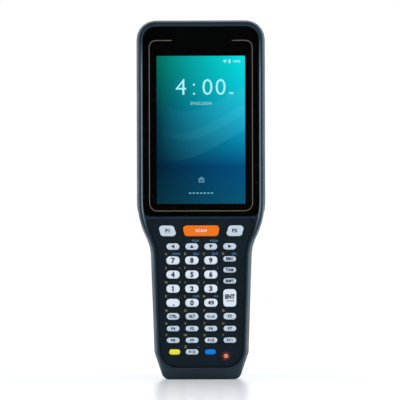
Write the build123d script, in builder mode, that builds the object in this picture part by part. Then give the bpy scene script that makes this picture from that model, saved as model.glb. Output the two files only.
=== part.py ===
from build123d import *
import os
from math import atan, cos, hypot, radians, sin, tan

# Portable barcode data terminal, standing on its lower end.
# Millimetres. X runs across the front, Y from front to back, Z up.
# The origin is the middle of the base, half way between front and back.

# overall body
height = 226.0
width = 80.8
depth = 37.0
front_y = -depth / 2
back_y = depth / 2
parting_y = front_y + 13.5

# front outline, from the top corners down to the base
top_corner_radius = 12.0
shoulder_top_z = 113.0
shoulder_foot_z = 77.0
shoulder_share = 0.64  # part of the shoulder curve that is the wide upper arc
waist_step = 8.5
waist_half_width = width / 2 - waist_step
heel_step = 2.2
heel_half_width = waist_half_width - heel_step
heel_z = 17.0
heel_radius = 8.0
base_step = 5.9
base_half_width = heel_half_width - base_step
base_radius = 5.0

# front edge: the sides lean in and the chin slopes up to the rim
side_y = front_y + 7.5
rim_head_draft = 0.8
rim_grip_draft = 1.7
chin_z = 6.9
rim_corner_radius = 11.0
rim_round = 1.3

# back: a deep head, a slimmer grip, and a curve between them
straight_back_y = parting_y + 6.0
head_back_draft = 1.2
grip_back_draft = 5.5
grip_back_y = back_y - 7.0
heel_back_y = grip_back_y - 1.5
heel_back_z = 12.0
heel_edge_radius = 3.0
hump_foot_z = 99.0
hump_top_z = 123.0
back_edge_radius = 4.5

# small round pieces and corners, which repeat, are made with flat sides
round_sides = 12
corner_steps = 3

# housings
wall = 2.5
cavity_inset = 3.4
cavity_foot_z = 9.0
ledge = 1.5
ledge_overlap = 2.5

# keypad panel in its well
panel_inset = 3.9
panel_top_z = 100.7
panel_foot_z = 8.2
panel_corner_radius = 10.0
panel_thickness = 1.2
panel_sink = 1.2
groove = 0.7

# cover glass, above the divider bar
divider_height = 2.1
divider_gap = 0.1
divider_sink = 0.7
glass_inset = 3.8
glass_gap = 0.1
glass_foot_z = panel_top_z + divider_height
glass_thickness = 1.4
glass_sink = 0.5
glass_bevel = 0.2

# display behind the glass
screen_side_border = 8.5
screen_top_border = 17.7
screen_foot_border = 7.8
screen_half_width = width / 2 - glass_inset - screen_side_border
screen_foot_z = glass_foot_z + screen_foot_border
screen_top_z = height - glass_inset - screen_top_border
bezel_side = 1.9
bezel_end = 3.05
bezel_step = 0.6
display_corner = 1.5

# keys: four columns across the panel, and a row of three above them
key_border = 5.75
column_gap = 3.1
key_row_width = 2 * (waist_half_width - panel_inset - key_border)
column_pitch = (key_row_width + column_gap) / 4
key_width = column_pitch - column_gap
scan_z = 93.8
arrow_z = 83.8
number_z = 75.1
number_pitch = 8.9
side_z = 76.0
side_pitch = 6.95
enter_z = 51.4
control_z = 39.9
function_z = 32.2
function_pitch = 7.35
soft_key_border = 14.1
soft_key_width = 10.6
scan_gap = 4.2
soft_key_x = width / 2 - soft_key_border - soft_key_width / 2
scan_key_width = 2 * (soft_key_x - scan_gap) - soft_key_width
key_leans = {"scan": (0.8, -0.8), "soft left": (0.9, 0.9), "soft right": (-0.9, -0.9)}
yellow_x = -1.5 * column_pitch + 0.95
blue_x = 0.5 * column_pitch - 0.35
power_x = 1.5 * column_pitch - 2.55
power_z = 14.75
power_radius = 1.95
microphone_x = blue_x + 5.1
microphone_z = 13.0
microphone_radius = 0.5
key_sizes = {
    "soft": (soft_key_width, 7.5),
    "scan": (scan_key_width, 7.6),
    "arrow": (key_width - 0.2, 4.8),
    "number": (key_width, 5.8),
    "side": (key_width - 0.3, 4.05),
    "enter": (key_width - 0.1, 11.8),
    "control": (key_width - 0.3, 4.9),
    "function": (key_width - 0.3, 4.1),
    "colour": (key_width - 1.35, 4.15),
}
key_corner_radius = 2.3
key_flat = 0.05
key_bevel = 0.3
key_proud = 1.15
key_gap = 0.15
key_draft = 5.0
key_flange = 0.5
key_flange_thickness = 0.8
key_post_size = 3.0
key_post_length = 0.9
key_travel = 0.8
travel_room = 0.1

# keypad layers under the panel
dome_size = 4.0
dome_height = 0.3
mat_window = 4.6
dome_taper = 30.0
keypad_board_thickness = 1.0
board_clearance = 0.3
keypad_board_foot_z = panel_foot_z + 3.3
keypad_board_top_z = panel_top_z - 2.1

# chassis and main board
chassis_thickness = 1.5
chassis_clearance = 0.3
standoff_height = 1.5
standoff_radius = 2.5
board_thickness = 1.2
board_half_width = width / 2 - 12.4
board_foot_z = glass_foot_z + 4.2
board_top_z = height - 25.0
board_edge = 6.0
standoff_x = board_half_width - 4.0
board_corner = 3.0
can_height = 2.4
can_width = 22.0
can_length = 30.0
can_x = board_half_width - can_width / 2 - 4.0

# head bumper, a soft band round the head
bumper_proud = 0.3
bumper_depth = 1.1
bumper_front_y = parting_y - 5.0
bumper_back_y = parting_y + 4.0
bumper_foot_z = shoulder_top_z - 7.0

# gasket between the halves
gasket_inset = 1.6
gasket_width = 0.8
gasket_thickness = 0.8

# screws
screw_head_radius = 1.8
screw_head_height = 1.6
screw_radius = 1.0
screw_hole_gap = 0.1
screw_well_gap = 0.15
screw_hole_end = 0.5
screw_seat_y = heel_back_y - 2.0
screw_length = screw_seat_y - side_y
screw_boss_radius = 3.1
head_screw_x = width / 2 - 6.6
head_screw_top_z = height - 19.0
head_screw_foot_z = glass_foot_z + 28.2
foot_screw_x = base_half_width - 9.3
foot_screw_z = 5.2

# battery pack in the back of the grip
battery_half_width = waist_half_width - 7.9
battery_foot_z = 26.0
battery_top_z = 97.0
battery_front_y = parting_y + 3.5
battery_corner = 3.0
battery_lip = 4.0
battery_gap = 0.3
contact_z = 88.0
contact_pitch = 4.0
contact_count = 5
contact_width = 1.8
contact_length = 4.5
bay_floor = 2.0

# battery latch under the pack
latch_width = 18.0
latch_height = 8.0
latch_foot_z = 12.0
latch_travel = 3.0
latch_gap = 0.25
latch_plate_thickness = 2.2
latch_sink = 0.3
tongue_width = 9.0
tongue_thickness = 2.0
tongue_clearance = 0.5
latch_rib_count = 4
latch_rib_height = 0.25
latch_rib_width = 0.7

# scan window and engine in the top end
window_width = width - 46.8
window_depth = 10.0
window_y = back_y - 11.5
window_corner = 2.0
window_thickness = 1.4
window_sink = 0.6
window_ledge = 1.5
roof_drop = 1.0
engine_width = window_width - 10.0
engine_depth = 11.0
engine_height = 15.0
engine_nose = 1.0
engine_gap = 0.2
cradle_width = 2.0
cradle_x = engine_width / 2 - 4.0

# speaker behind slots in the back
speaker_width = 18.0
speaker_height = 11.0
speaker_thickness = 3.5
speaker_z = hump_top_z + 15.0
slot_length = 9.0
slot_width = 1.2
slot_pitch = 2.6
slot_count = 5

# rear camera
camera_z = height - 40.0
camera_window_width = 24.0
camera_window_height = 11.0
camera_window_corner = 4.0
camera_window_thickness = 1.2
camera_window_sink = 0.3
camera_barrel_radius = 3.6
camera_barrel_x = -5.5
camera_body_size = 8.5
camera_body_thickness = 3.0
camera_gap = 0.1

# charging contacts in the base
dock_count = 6
dock_pitch = 3.0
dock_width = 1.7
dock_depth = 3.4
dock_length = 4.0
dock_y = parting_y + 6.5
dock_sink = 0.3

# levels that follow from the sizes above, from front to back
glass_y = front_y + glass_sink
glass_back_y = glass_y + glass_thickness
panel_y = front_y + panel_sink
panel_back_y = panel_y + panel_thickness
key_top_y = panel_y - key_proud
flange_y = panel_back_y + key_gap
key_back_y = flange_y + key_flange_thickness
post_back_y = key_back_y + key_post_length
mat_y = key_back_y + key_travel + travel_room
dome_y = post_back_y + key_travel + travel_room
keypad_board_y = dome_y + dome_height
chassis_y = keypad_board_y + keypad_board_thickness
chassis_back_y = chassis_y + chassis_thickness
board_y = chassis_back_y + standoff_height
board_back_y = board_y + board_thickness
cavity_back_y = back_y - wall
cavity_top_z = height - bumper_proud - head_back_draft - wall - roof_drop
bay_top_z = battery_top_z + battery_gap
latch_face_y = grip_back_y - latch_sink
latch_back_y = latch_face_y - latch_plate_thickness - latch_gap
tongue_y = latch_face_y - latch_plate_thickness - tongue_thickness
cover_y = tongue_y + tongue_thickness + latch_gap
window_z = height - bumper_proud - window_sink - window_thickness
engine_z = cavity_top_z - engine_gap - engine_nose - engine_height / 2
engine_back_y = window_y + engine_depth / 2
camera_y = back_y - camera_window_sink - camera_window_thickness


def at_depth(y):
    # a sketch plane across the body whose normal points to the front
    return Plane.XZ.offset(-y)


def fitted_radius(radius, room, turn):
    # the largest arc up to radius that a corner has room for
    return min(radius, 0.95 * room / tan(turn / 2))


def side_points(head_inset, grip_inset):
    # corners and radii of the right side, from the top down to the waist
    side_x = width / 2 - head_inset
    waist_x = waist_half_width - grip_inset
    drop = shoulder_top_z - shoulder_foot_z
    half_turn = atan((side_x - waist_x) / drop)
    arcs = 0.97 * drop / sin(2 * half_turn)
    upper_radius = arcs * shoulder_share
    lower_radius = arcs - upper_radius
    upper_z = shoulder_top_z - upper_radius * tan(half_turn)
    lower_z = shoulder_foot_z + lower_radius * tan(half_turn)
    top_z = height - head_inset
    points = [(0, top_z), (side_x, top_z), (side_x, upper_z), (waist_x, lower_z)]
    radii = [top_corner_radius - head_inset, upper_radius, lower_radius]
    return points, radii


def body_outline(head_inset, grip_inset, foot_z=0.0, foot_radius=base_radius):
    # closed front outline, set in from the overall silhouette
    points, radii = side_points(head_inset, grip_inset)
    heel_x = heel_half_width - grip_inset
    slope = (heel_half_width - base_half_width) / heel_z
    foot_x = base_half_width - grip_inset + slope * foot_z
    lean = atan(slope)
    slant = hypot(heel_x - foot_x, heel_z - foot_z)
    radii.append(fitted_radius(heel_radius, slant / 3, lean))
    radii.append(fitted_radius(foot_radius, slant * 0.8, 1.5708 - lean))
    points.extend([(heel_x, heel_z), (foot_x, foot_z), (0, foot_z)])
    with BuildSketch() as outline:
        with BuildLine():
            FilletPolyline(*points, radius=radii)
            mirror(about=Plane.YZ)
        make_face()
    return outline.sketch


def open_outline(head_inset, grip_inset):
    # the same sides carried on below the base, for shaping the back
    points, radii = side_points(head_inset, grip_inset)
    taper = (waist_half_width - heel_half_width) / (shoulder_foot_z - heel_z)
    low_z = -heel_z
    low_x = heel_half_width - grip_inset + taper * (low_z - heel_z)
    points.extend([(low_x, low_z), (0, low_z)])
    radii.append(0)
    with BuildSketch() as outline:
        with BuildLine():
            FilletPolyline(*points, radius=radii)
            mirror(about=Plane.YZ)
        make_face()
    return outline.sketch


def zone(low_z, high_z):
    # a strip across the whole width, to keep one stretch of an outline
    with BuildSketch() as strip:
        with Locations((0, (low_z + high_z) / 2)):
            Rectangle(width * 2, high_z - low_z)
    return strip.sketch


def front_form():
    # outer shape of the front half
    with BuildPart() as form:
        with BuildSketch(at_depth(side_y)):
            add(body_outline(bumper_proud, 0))
        with BuildSketch(at_depth(front_y)):
            head_inset = bumper_proud + rim_head_draft
            add(body_outline(head_inset, rim_grip_draft, chin_z, rim_corner_radius))
        loft(ruled=True)
        with BuildSketch(at_depth(parting_y)):
            add(body_outline(bumper_proud, 0))
        extrude(amount=parting_y - side_y)
        fillet(form.faces().sort_by(Axis.Y)[0].edges(), radius=rim_round)
    return form.part


def back_profile():
    # corners and radii of the side view, sharp at the top and carried on below the base
    step = back_y - grip_back_y
    drop = hump_top_z - hump_foot_z
    half_turn = atan(step / drop)
    radius = 0.97 * drop / sin(2 * half_turn) / 2
    bend = radius * tan(half_turn)
    points = [
        (parting_y, -heel_z),
        (grip_back_y, -heel_z),
        (grip_back_y, hump_foot_z + bend),
        (back_y, hump_top_z - bend),
        (back_y, height),
        (parting_y, height),
    ]
    return points, [0, 0, radius, radius, 0, 0]


def rear_form():
    # outer shape of the rear half, with its battery still one with it
    with BuildPart() as form:
        with BuildSketch(at_depth(back_y)):
            add(open_outline(bumper_proud + head_back_draft, grip_back_draft))
        with BuildSketch(at_depth(straight_back_y)):
            add(open_outline(bumper_proud, 0))
        loft(ruled=True)
        with BuildSketch(at_depth(straight_back_y)):
            add(open_outline(bumper_proud, 0))
        extrude(amount=straight_back_y - parting_y)
        with BuildSketch(Plane.YZ):
            points, radii = back_profile()
            with BuildLine():
                FilletPolyline(*points, radius=radii, close=True)
            make_face()
        extrude(amount=width, both=True, mode=Mode.INTERSECT)
        back_faces = form.faces().filter_by(lambda face: face.normal_at().Y > 0.5)
        top_line = height - head_back_draft - bumper_proud - 1
        rim = back_faces.edges().filter_by(
            lambda edge: edge.center().Z > -heel_z + 1
            and (abs(edge.center().X) > 1 or edge.center().Z > top_line)
        )
        fillet(rim, radius=back_edge_radius)
        with BuildSketch(at_depth(back_y)):
            add(body_outline(0, 0))
        extrude(amount=depth, mode=Mode.INTERSECT)
        with BuildSketch(Plane.YZ):
            with BuildLine():
                FilletPolyline(
                    (front_y, 0),
                    (heel_back_y, 0),
                    (grip_back_y, heel_back_z),
                    (back_y, heel_back_z),
                    (back_y, height),
                    (front_y, height),
                    (front_y, 0),
                    radius=[0, heel_edge_radius, 0, 0, 0, 0],
                )
            make_face()
        extrude(amount=width, both=True, mode=Mode.INTERSECT)
    return form.part


def key_outline(kind, grow=0.0):
    # face of one key, centred on its own place, with each corner in flat steps
    if kind == "power":
        with BuildSketch() as outline:
            RegularPolygon(power_radius + grow, 2 * round_sides)
        return outline.sketch
    length, rise = key_sizes["soft" if kind.startswith("soft") else kind]
    corner = min(key_corner_radius, rise / 2 - key_flat)
    half_length = length / 2 - corner
    half_rise = rise / 2 - corner
    left_lean, right_lean = key_leans.get(kind, (0, 0))
    centres = [
        (half_length, half_rise),
        (-half_length, half_rise),
        (-half_length + left_lean, -half_rise),
        (half_length + right_lean, -half_rise),
    ]
    turn = 90 / corner_steps
    reach = (corner + grow) / cos(radians(turn / 2))
    points = []
    for quarter, (x, z) in enumerate(centres):
        for step in range(corner_steps):
            angle = radians(90 * quarter + turn * (step + 0.5))
            points.append((x + reach * cos(angle), z + reach * sin(angle)))
    with BuildSketch() as outline:
        Polygon(*points, align=None)
    return outline.sketch


def key_list():
    # every key as (node name, kind, x, z)
    columns = [(place - 1.5) * column_pitch for place in range(4)]
    keys = [
        ("key_f1", "soft left", -soft_key_x, scan_z),
        ("key_scan", "scan", 0, scan_z),
        ("key_f2", "soft right", soft_key_x, scan_z),
    ]
    for name, x in zip(("left", "up", "down", "right"), columns):
        keys.append(("key_" + name, "arrow", x, arrow_z))
    number_rows = (("7", "8", "9"), ("4", "5", "6"), ("1", "2", "3"), ("point", "0", "backspace"))
    for row, names in enumerate(number_rows):
        for name, x in zip(names, columns):
            keys.append(("key_" + name, "number", x, number_z - row * number_pitch))
    for row, name in enumerate(("escape", "tab", "shift")):
        keys.append(("key_" + name, "side", columns[3], side_z - row * side_pitch))
    keys.append(("key_enter", "enter", columns[3], enter_z))
    for name, x in zip(("control", "alt", "space", "f3"), columns):
        keys.append(("key_" + name, "control", x, control_z))
    for row in range(2):
        for place, x in enumerate(columns):
            name = "key_f" + str(4 + row * 4 + place)
            keys.append((name, "function", x, function_z - row * function_pitch))
    last_z = function_z - 2 * function_pitch
    keys.append(("key_yellow", "colour", yellow_x, last_z))
    keys.append(("key_f12", "function", columns[1], last_z))
    keys.append(("key_blue", "colour", blue_x, last_z))
    keys.append(("key_power", "power", power_x, power_z))
    return keys


def screw_places():
    head = [(side * head_screw_x, z) for side in (-1, 1) for z in (head_screw_foot_z, head_screw_top_z)]
    foot = [(side * foot_screw_x, foot_screw_z) for side in (-1, 1)]
    return head, foot


def bay_outline(gap):
    # outline of the battery pack, or with a gap that of its bay
    with BuildSketch() as outline:
        with Locations((0, (battery_foot_z + battery_top_z) / 2)):
            length = battery_top_z - battery_foot_z + 2 * gap
            RectangleRounded(2 * (battery_half_width + gap), length, battery_corner)
    return outline.sketch


def keypad_board_outline():
    # the panel's own outline, narrowed to fit inside the ledge
    inset = panel_inset + ledge_overlap + board_clearance
    with BuildSketch() as outline:
        add(body_outline(inset, inset, keypad_board_foot_z, panel_corner_radius - ledge_overlap))
        add(zone(0, keypad_board_top_z), mode=Mode.INTERSECT)
    return outline.sketch


def key_form(kind):
    # a drafted cap, a flange that holds it in and a post that presses the dome
    with BuildPart() as key:
        with BuildSketch(at_depth(flange_y)):
            add(key_outline(kind))
        extrude(amount=flange_y - key_top_y, taper=key_draft)
        chamfer(key.faces().sort_by(Axis.Y)[0].edges(), length=key_bevel)
        with BuildSketch(at_depth(key_back_y)):
            box = key_outline(kind).bounding_box()
            Rectangle(box.size.X + 2 * key_flange, box.size.Y + 2 * key_flange)
        extrude(amount=key_flange_thickness)
        with BuildSketch(at_depth(post_back_y)):
            Rectangle(key_post_size, key_post_size)
        extrude(amount=key_post_length)
    return key.part


def save(shape, name):
    shape.label = name
    export_step(shape, "parts/" + name + ".step")


os.makedirs("parts", exist_ok=True)
keys = key_list()
key_places = [(x, z) for name, kind, x, z in keys]
head_screws, foot_screws = screw_places()
board_ends = (board_foot_z + board_edge, board_top_z - board_edge)
standoffs = [(side * standoff_x, z) for side in (-1, 1) for z in board_ends]
front_shape = front_form()
rear_shape = rear_form()

# front housing: rim, glass seat, keypad well, divider and inner ledge
with BuildPart() as front_housing:
    add(front_shape)
    with BuildSketch(at_depth(front_y)):
        add(body_outline(glass_inset - glass_gap, glass_inset - glass_gap))
        add(zone(glass_foot_z - glass_gap, height), mode=Mode.INTERSECT)
    extrude(amount=front_y - glass_back_y, mode=Mode.SUBTRACT)
    with BuildSketch(at_depth(front_y)):
        well_inset = panel_inset - groove
        add(body_outline(well_inset, well_inset, panel_foot_z - groove, panel_corner_radius + groove))
        add(zone(0, panel_top_z + divider_gap), mode=Mode.INTERSECT)
    extrude(amount=front_y - panel_back_y, mode=Mode.SUBTRACT)
    with BuildSketch(at_depth(front_y)):
        add(body_outline(glass_inset, glass_inset))
        add(zone(panel_top_z, glass_foot_z), mode=Mode.INTERSECT)
    extrude(amount=-divider_sink, mode=Mode.SUBTRACT)
    with BuildSketch(at_depth(panel_back_y + ledge)):
        hole_inset = glass_inset + ledge_overlap
        add(body_outline(hole_inset, hole_inset))
        add(zone(glass_foot_z + ledge_overlap, height), mode=Mode.INTERSECT)
    extrude(amount=ledge + depth / 2, mode=Mode.SUBTRACT)
    with BuildSketch(at_depth(panel_back_y + ledge)):
        hole_inset = panel_inset + ledge_overlap
        hole_radius = panel_corner_radius - ledge_overlap
        add(body_outline(hole_inset, hole_inset, panel_foot_z + ledge_overlap, hole_radius))
        add(zone(0, panel_top_z - ledge_overlap), mode=Mode.INTERSECT)
    extrude(amount=ledge + depth / 2, mode=Mode.SUBTRACT)
    with BuildSketch(at_depth(parting_y)):
        add(body_outline(cavity_inset, cavity_inset, cavity_foot_z, panel_corner_radius))
    extrude(amount=parting_y - panel_back_y - ledge, mode=Mode.SUBTRACT)
    with BuildSketch(at_depth(parting_y)):
        with Locations(*head_screws):
            RegularPolygon(screw_boss_radius, round_sides)
    extrude(amount=parting_y - panel_back_y - ledge)
    with BuildSketch(at_depth(parting_y)):
        with Locations(*head_screws, *foot_screws):
            RegularPolygon(screw_radius + screw_hole_gap, round_sides)
    extrude(amount=parting_y - side_y + screw_hole_end, mode=Mode.SUBTRACT)
    with BuildSketch(at_depth(parting_y)):
        add(body_outline(bumper_proud + gasket_inset, gasket_inset, gasket_inset))
        inner = gasket_inset + gasket_width
        add(body_outline(bumper_proud + inner, inner, inner), mode=Mode.SUBTRACT)
    extrude(amount=gasket_thickness, mode=Mode.SUBTRACT)
    with BuildSketch(at_depth(bumper_front_y)):
        add(body_outline(-1, -1))
        add(body_outline(bumper_depth, bumper_depth), mode=Mode.SUBTRACT)
        add(zone(bumper_foot_z, height + 1), mode=Mode.INTERSECT)
    extrude(amount=bumper_front_y - bumper_back_y, mode=Mode.SUBTRACT)
save(front_housing.part, "front_housing")

# rear housing: deep head, battery bay, latch track, screw wells, window and camera seats
with BuildPart() as rear_cavity:
    with BuildSketch(at_depth(cavity_back_y)):
        back_inset = bumper_proud + head_back_draft + wall
        add(open_outline(back_inset, back_inset))
    with BuildSketch(at_depth(straight_back_y)):
        add(open_outline(cavity_inset, cavity_inset))
    loft(ruled=True)
    with BuildSketch(at_depth(straight_back_y)):
        add(open_outline(cavity_inset, cavity_inset))
    extrude(amount=straight_back_y - parting_y)
    with BuildSketch(Plane.YZ):
        with BuildLine():
            Polyline(
                (parting_y, bay_top_z + wall),
                (grip_back_y - wall - 1, bay_top_z + wall),
                (cavity_back_y, hump_top_z + 1),
                (cavity_back_y, cavity_top_z),
                (parting_y, cavity_top_z),
                close=True,
            )
        make_face()
    extrude(amount=width, both=True, mode=Mode.INTERSECT)

with BuildPart() as rear_housing:
    add(rear_shape)
    add(rear_cavity.part, mode=Mode.SUBTRACT)
    with BuildSketch(at_depth(battery_front_y - bay_floor)):
        add(body_outline(cavity_inset, cavity_inset, cavity_foot_z, panel_corner_radius))
        add(zone(0, bay_top_z + wall + 1), mode=Mode.INTERSECT)
    extrude(amount=battery_front_y - bay_floor - parting_y, mode=Mode.SUBTRACT)
    with BuildSketch(at_depth(battery_front_y)):
        add(bay_outline(battery_gap))
    extrude(amount=-depth, mode=Mode.SUBTRACT)
    with BuildSketch(at_depth(latch_back_y)):
        with Locations((0, latch_foot_z + (latch_height + latch_travel) / 2)):
            Rectangle(latch_width + 2 * latch_gap, latch_height + latch_travel + 2 * latch_gap)
    extrude(amount=-depth, mode=Mode.SUBTRACT)
    with BuildSketch(at_depth(tongue_y - latch_gap)):
        with Locations((0, latch_foot_z - latch_gap)):
            slot_height = battery_foot_z - latch_foot_z + latch_gap
            Rectangle(tongue_width + 2 * latch_gap, slot_height, align=(Align.CENTER, Align.MIN))
    extrude(amount=-tongue_thickness - 2 * latch_gap, mode=Mode.SUBTRACT)
    with BuildSketch(at_depth(parting_y)):
        with Locations(*head_screws):
            RegularPolygon(screw_boss_radius, round_sides)
    extrude(amount=parting_y - cavity_back_y)
    with BuildSketch(at_depth(parting_y)):
        with Locations(*head_screws, *foot_screws):
            RegularPolygon(screw_radius + screw_hole_gap, round_sides)
    extrude(amount=parting_y - screw_seat_y, mode=Mode.SUBTRACT)
    with BuildSketch(at_depth(screw_seat_y)):
        with Locations(*head_screws, *foot_screws):
            RegularPolygon(screw_head_radius + screw_well_gap, round_sides)
    extrude(amount=-depth, mode=Mode.SUBTRACT)
    with BuildSketch(Plane.XY.offset(window_z)):
        with Locations((0, window_y)):
            RectangleRounded(window_width, window_depth, window_corner)
    extrude(amount=height, mode=Mode.SUBTRACT)
    with BuildSketch(Plane.XY.offset(cavity_top_z - roof_drop)):
        with Locations((0, window_y)):
            Rectangle(window_width - 2 * window_ledge, window_depth - 2 * window_ledge)
    extrude(amount=height, mode=Mode.SUBTRACT)
    with BuildSketch(at_depth(engine_back_y)):
        with Locations((-cradle_x, engine_z), (cradle_x, engine_z)):
            Rectangle(cradle_width, engine_height)
    extrude(amount=engine_back_y - cavity_back_y)
    with BuildSketch(at_depth(cavity_back_y - 1)):
        with GridLocations(0, slot_pitch, 1, slot_count):
            with Locations((0, speaker_z)):
                Rectangle(slot_length, slot_width)
    extrude(amount=-depth, mode=Mode.SUBTRACT)
    with BuildSketch(at_depth(camera_y)):
        with Locations((0, camera_z)):
            RectangleRounded(camera_window_width, camera_window_height, camera_window_corner)
    extrude(amount=-depth, mode=Mode.SUBTRACT)
    with BuildSketch(at_depth(cavity_back_y - 1)):
        with Locations((camera_barrel_x, camera_z)):
            Circle(camera_barrel_radius + camera_gap)
    extrude(amount=-depth, mode=Mode.SUBTRACT)
    with BuildSketch(at_depth(battery_front_y)):
        with Locations((0, contact_z)):
            with GridLocations(contact_pitch, 0, contact_count, 1):
                Rectangle(contact_width, contact_length)
    extrude(amount=bay_floor + 1, mode=Mode.SUBTRACT)
    with BuildSketch(Plane.XY):
        with Locations((0, dock_y)):
            with GridLocations(dock_pitch, 0, dock_count, 1):
                Rectangle(dock_width, dock_depth)
    extrude(amount=dock_sink + dock_length, mode=Mode.SUBTRACT)
    with BuildSketch(at_depth(bumper_back_y)):
        add(body_outline(-1, -1))
        add(body_outline(bumper_depth, bumper_depth), mode=Mode.SUBTRACT)
        add(zone(bumper_foot_z, height + 1), mode=Mode.INTERSECT)
    extrude(amount=bumper_back_y - bumper_front_y, mode=Mode.SUBTRACT)
save(rear_housing.part, "rear_housing")

# soft band round the head, seated in both housings
with BuildPart() as head_bumper:
    with BuildSketch(at_depth(bumper_back_y)):
        add(body_outline(0, 0))
        add(body_outline(bumper_depth, bumper_depth), mode=Mode.SUBTRACT)
        add(zone(bumper_foot_z, height + 1), mode=Mode.INTERSECT)
    extrude(amount=bumper_back_y - bumper_front_y)
save(head_bumper.part, "head_bumper")

# ring that seals the two housings
with BuildPart() as housing_gasket:
    with BuildSketch(at_depth(parting_y)):
        add(body_outline(bumper_proud + gasket_inset, gasket_inset, gasket_inset))
        inner = gasket_inset + gasket_width
        add(body_outline(bumper_proud + inner, inner, inner), mode=Mode.SUBTRACT)
    extrude(amount=gasket_thickness)
save(housing_gasket.part, "housing_gasket")

# cover glass
with BuildPart() as touch_glass:
    with BuildSketch(at_depth(glass_back_y)):
        add(body_outline(glass_inset, glass_inset))
        add(zone(glass_foot_z, height), mode=Mode.INTERSECT)
    extrude(amount=glass_thickness)
    chamfer(touch_glass.faces().sort_by(Axis.Y)[0].edges(), length=glass_bevel)
save(touch_glass.part, "touch_glass")

# display: metal-backed module with a raised screen
with BuildPart() as display_module:
    with BuildSketch(at_depth(chassis_y)):
        with Locations((0, (screen_foot_z + screen_top_z) / 2)):
            module_height = screen_top_z - screen_foot_z + 2 * bezel_end
            RectangleRounded(2 * (screen_half_width + bezel_side), module_height, display_corner)
    extrude(amount=chassis_y - glass_back_y - bezel_step)
    with BuildSketch(at_depth(glass_back_y + bezel_step)):
        with Locations((0, (screen_foot_z + screen_top_z) / 2)):
            Rectangle(2 * screen_half_width, screen_top_z - screen_foot_z)
    extrude(amount=bezel_step)
save(display_module.part, "display_module")

# keypad panel with a hole for each key and one for the microphone
with BuildPart() as keypad_panel:
    with BuildSketch(at_depth(panel_back_y)):
        add(body_outline(panel_inset, panel_inset, panel_foot_z, panel_corner_radius))
        add(zone(0, panel_top_z), mode=Mode.INTERSECT)
        holes = [key_outline(kind, key_gap).moved(Location((x, z))) for name, kind, x, z in keys]
        add(holes, mode=Mode.SUBTRACT)
        with Locations((microphone_x, microphone_z)):
            Circle(microphone_radius, mode=Mode.SUBTRACT)
    extrude(amount=panel_thickness)
save(keypad_panel.part, "keypad_panel")

# one form for each kind of key, placed wherever that kind stands
key_forms = {kind: key_form(kind) for kind in sorted({kind for name, kind, x, z in keys})}
for name, kind, x, z in keys:
    save(key_forms[kind].moved(Location((x, 0, z))), name)

# rubber mat with a window for each post, and the domes on their board
with BuildPart() as keypad_mat:
    with BuildSketch(at_depth(keypad_board_y)):
        add(keypad_board_outline())
    extrude(amount=keypad_board_y - mat_y)
    with BuildSketch(at_depth(keypad_board_y)):
        with Locations(*key_places):
            Rectangle(mat_window, mat_window)
    extrude(amount=keypad_board_y - mat_y, mode=Mode.SUBTRACT)
save(keypad_mat.part, "keypad_mat")

with BuildPart() as snap_domes:
    with BuildSketch(at_depth(keypad_board_y)):
        with Locations(*key_places):
            RegularPolygon(dome_size / 2, 6)
    extrude(amount=dome_height, taper=dome_taper)
save(snap_domes.part, "snap_domes")

with BuildPart() as keypad_board:
    with BuildSketch(at_depth(chassis_y)):
        add(keypad_board_outline())
    extrude(amount=keypad_board_thickness)
save(keypad_board.part, "keypad_board")

# chassis: a metal plate between the front and back halves
with BuildPart() as inner_chassis:
    with BuildSketch(at_depth(chassis_back_y)):
        inset = cavity_inset + chassis_clearance
        add(body_outline(inset, inset, cavity_foot_z + chassis_clearance, panel_corner_radius))
        with Locations(*head_screws):
            RegularPolygon(screw_boss_radius + chassis_clearance, round_sides, mode=Mode.SUBTRACT)
    extrude(amount=chassis_thickness)
    with BuildSketch(at_depth(board_y)):
        with Locations(*standoffs):
            RegularPolygon(standoff_radius, round_sides)
    extrude(amount=standoff_height)
save(inner_chassis.part, "inner_chassis")

# main board with two shield cans
with BuildPart() as main_board:
    with BuildSketch(at_depth(board_back_y)):
        with Locations((0, (board_foot_z + board_top_z) / 2)):
            RectangleRounded(2 * board_half_width, board_top_z - board_foot_z, board_corner)
    extrude(amount=board_thickness)
    with BuildSketch(at_depth(board_back_y + can_height)):
        with Locations((-can_x, board_top_z - can_length), (can_x, board_foot_z + can_length)):
            RectangleRounded(can_width, can_length, board_corner / 3)
    extrude(amount=can_height)
save(main_board.part, "main_board")

# scan engine and its window in the top end
with BuildPart() as scan_engine:
    with BuildSketch(at_depth(engine_back_y)):
        with Locations((0, engine_z)):
            Rectangle(engine_width, engine_height)
    extrude(amount=engine_depth)
    with BuildSketch(Plane.XY.offset(engine_z + engine_height / 2)):
        with Locations((-engine_width / 4, window_y)):
            Circle(engine_depth / 4)
        with Locations((engine_width / 4, window_y)):
            Rectangle(engine_width / 4, engine_depth / 3)
    extrude(amount=engine_nose)
save(scan_engine.part, "scan_engine")

with BuildPart() as scan_window:
    with BuildSketch(Plane.XY.offset(window_z)):
        with Locations((0, window_y)):
            RectangleRounded(window_width, window_depth, window_corner)
    extrude(amount=window_thickness)
save(scan_window.part, "scan_window")

# battery pack: the back of the grip, with a lip along its foot for the latch
with BuildPart() as battery_pack:
    add(rear_shape)
    with BuildSketch(at_depth(battery_front_y)):
        add(bay_outline(0))
    extrude(amount=-depth, mode=Mode.INTERSECT)
    with BuildSketch(at_depth(cover_y)):
        with Locations((0, battery_foot_z)):
            Rectangle(2 * battery_half_width, battery_lip, align=(Align.CENTER, Align.MIN))
    extrude(amount=cover_y - battery_front_y, mode=Mode.SUBTRACT)
save(battery_pack.part, "battery_pack")

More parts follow.
